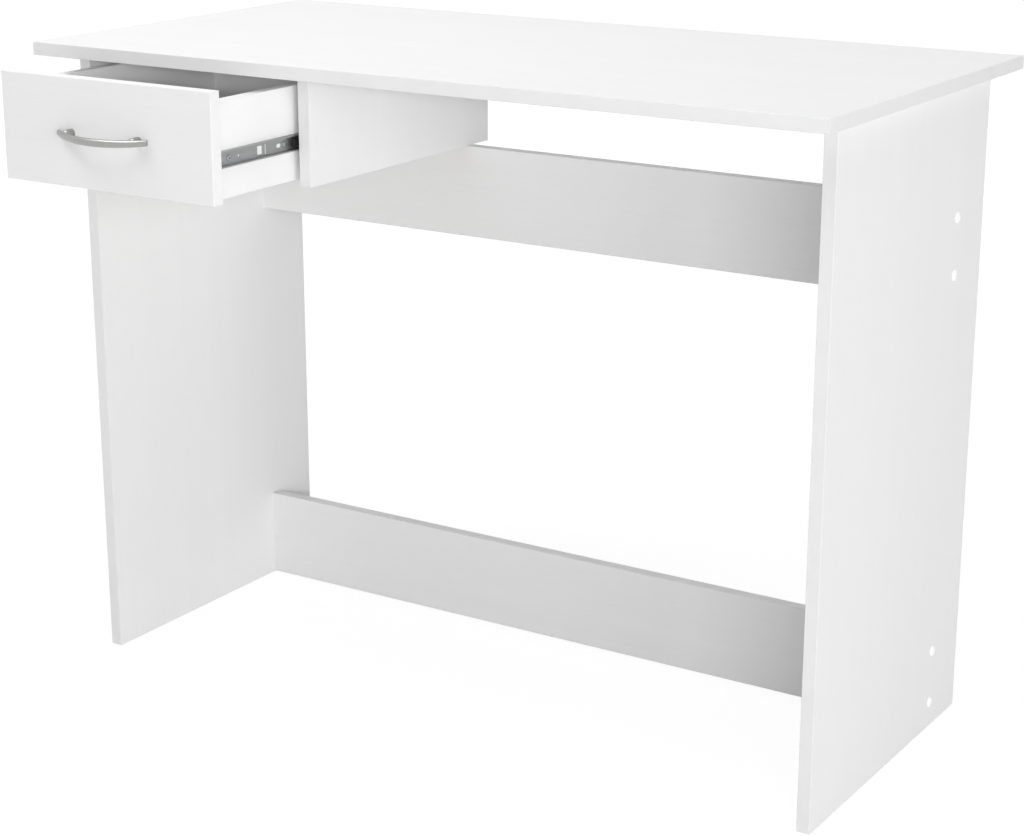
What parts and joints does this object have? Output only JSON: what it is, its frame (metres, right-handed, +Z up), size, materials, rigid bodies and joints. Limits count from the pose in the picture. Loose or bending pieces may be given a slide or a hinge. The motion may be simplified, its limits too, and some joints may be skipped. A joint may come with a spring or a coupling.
{
  "type": "writing desk",
  "caption": "Panel-sided writing desk with an overhanging top, rear rails and an inset drawer with a bow pull, shown part open on its ball-bearing slides.",
  "frame": {"origin": "on the floor, midway across the desk and midway between the front of the open drawer's pull and the desktop's rear edge", "axes": "+X to the right along the desktop's long side, +Y to the rear, +Z up; the drawer opens towards -Y"},
  "size_m": [1, 0.6178, 0.76],
  "materials": {
    "white_board": "white melamine-faced particle board, fine wood-pore texture",
    "edge_band": "white satin edge band",
    "hardboard": "white-faced hardboard",
    "beech_dowel": "fluted beech",
    "zinc_steel": "bright zinc plated",
    "cage_steel": "plain zinc plated sheet",
    "ball_steel": "polished",
    "cast_zinc": "die-cast zinc, dull",
    "satin_nickel": "satin nickel",
    "black_plastic": "moulded, matt",
    "white_cap": "moulded, semi-gloss"
  },
  "bodies": {
    "carcase": {"desktop": "white_board", "desktop_edge_band": "edge_band", "left_side_panel": "white_board", "right_side_panel": "white_board", "side_panel_edge_bands": "edge_band", "upper_rear_rail": "white_board", "lower_rear_rail": "white_board", "rail_edge_bands": "edge_band", "drawer_partition": "white_board", "partition_edge_bands": "edge_band", "rail_screws": "zinc_steel", "screw_caps": "white_cap", "desktop_cam_bolts": "zinc_steel", "side_panel_cam_locks": "cast_zinc", "partition_cam_locks": "cast_zinc", "desktop_dowels": "beech_dowel", "partition_dowel": "beech_dowel", "left_cabinet_rail": "zinc_steel", "right_cabinet_rail": "zinc_steel", "cabinet_rail_screws": "zinc_steel", "rear_bumpers": "black_plastic"},
    "drawer": {"drawer_front": "white_board", "drawer_front_edge_band": "edge_band", "drawer_left_side": "white_board", "drawer_right_side": "white_board", "drawer_back": "white_board", "drawer_box_edge_bands": "edge_band", "drawer_bottom": "hardboard", "drawer_cam_bolts": "zinc_steel", "drawer_cam_locks": "cast_zinc", "drawer_dowels": "beech_dowel", "drawer_back_screws": "zinc_steel", "drawer_bottom_pins": "zinc_steel", "pull_handle": "satin_nickel", "pull_screws": "zinc_steel", "left_drawer_rail": "zinc_steel", "right_drawer_rail": "zinc_steel", "drawer_rail_screws": "zinc_steel", "lever_rivets": "zinc_steel"},
    "left_cage": {"left_ball_cage": "cage_steel", "left_slide_balls": "ball_steel"},
    "right_cage": {"right_ball_cage": "cage_steel", "right_slide_balls": "ball_steel"},
    "left_lever": {"left_release_lever": "black_plastic"},
    "right_lever": {"right_release_lever": "black_plastic"}
  },
  "joints": [
    {"name": "drawer_slide", "type": "slide", "parent": "carcase", "child": "drawer", "axis": [0, -1, 0], "range_m": [-0.1455, 0.0745]},
    {"name": "left_cage_slide", "type": "slide", "parent": "carcase", "child": "left_cage", "axis": [0, -1, 0], "range_m": [-0.07275, 0.03725]},
    {"name": "right_cage_slide", "type": "slide", "parent": "carcase", "child": "right_cage", "axis": [0, -1, 0], "range_m": [-0.07275, 0.03725]},
    {"name": "left_lever_press", "type": "hinge", "parent": "drawer", "child": "left_lever", "pos_m": [-0.4608, -0.0996, 0.666], "axis": [1, 0, 0], "range_deg": [0, 4], "stiffness_Nm_per_rad": 0.3},
    {"name": "right_lever_press", "type": "hinge", "parent": "drawer", "child": "right_lever", "pos_m": [-0.1702, -0.0996, 0.666], "axis": [1, 0, 0], "range_deg": [-4, 0], "stiffness_Nm_per_rad": 0.3}
  ],
  "couplings": [
    {"joint": "left_cage_slide", "follows": "drawer_slide", "ratio": 0.5},
    {"joint": "right_cage_slide", "follows": "drawer_slide", "ratio": 0.5}
  ]
}
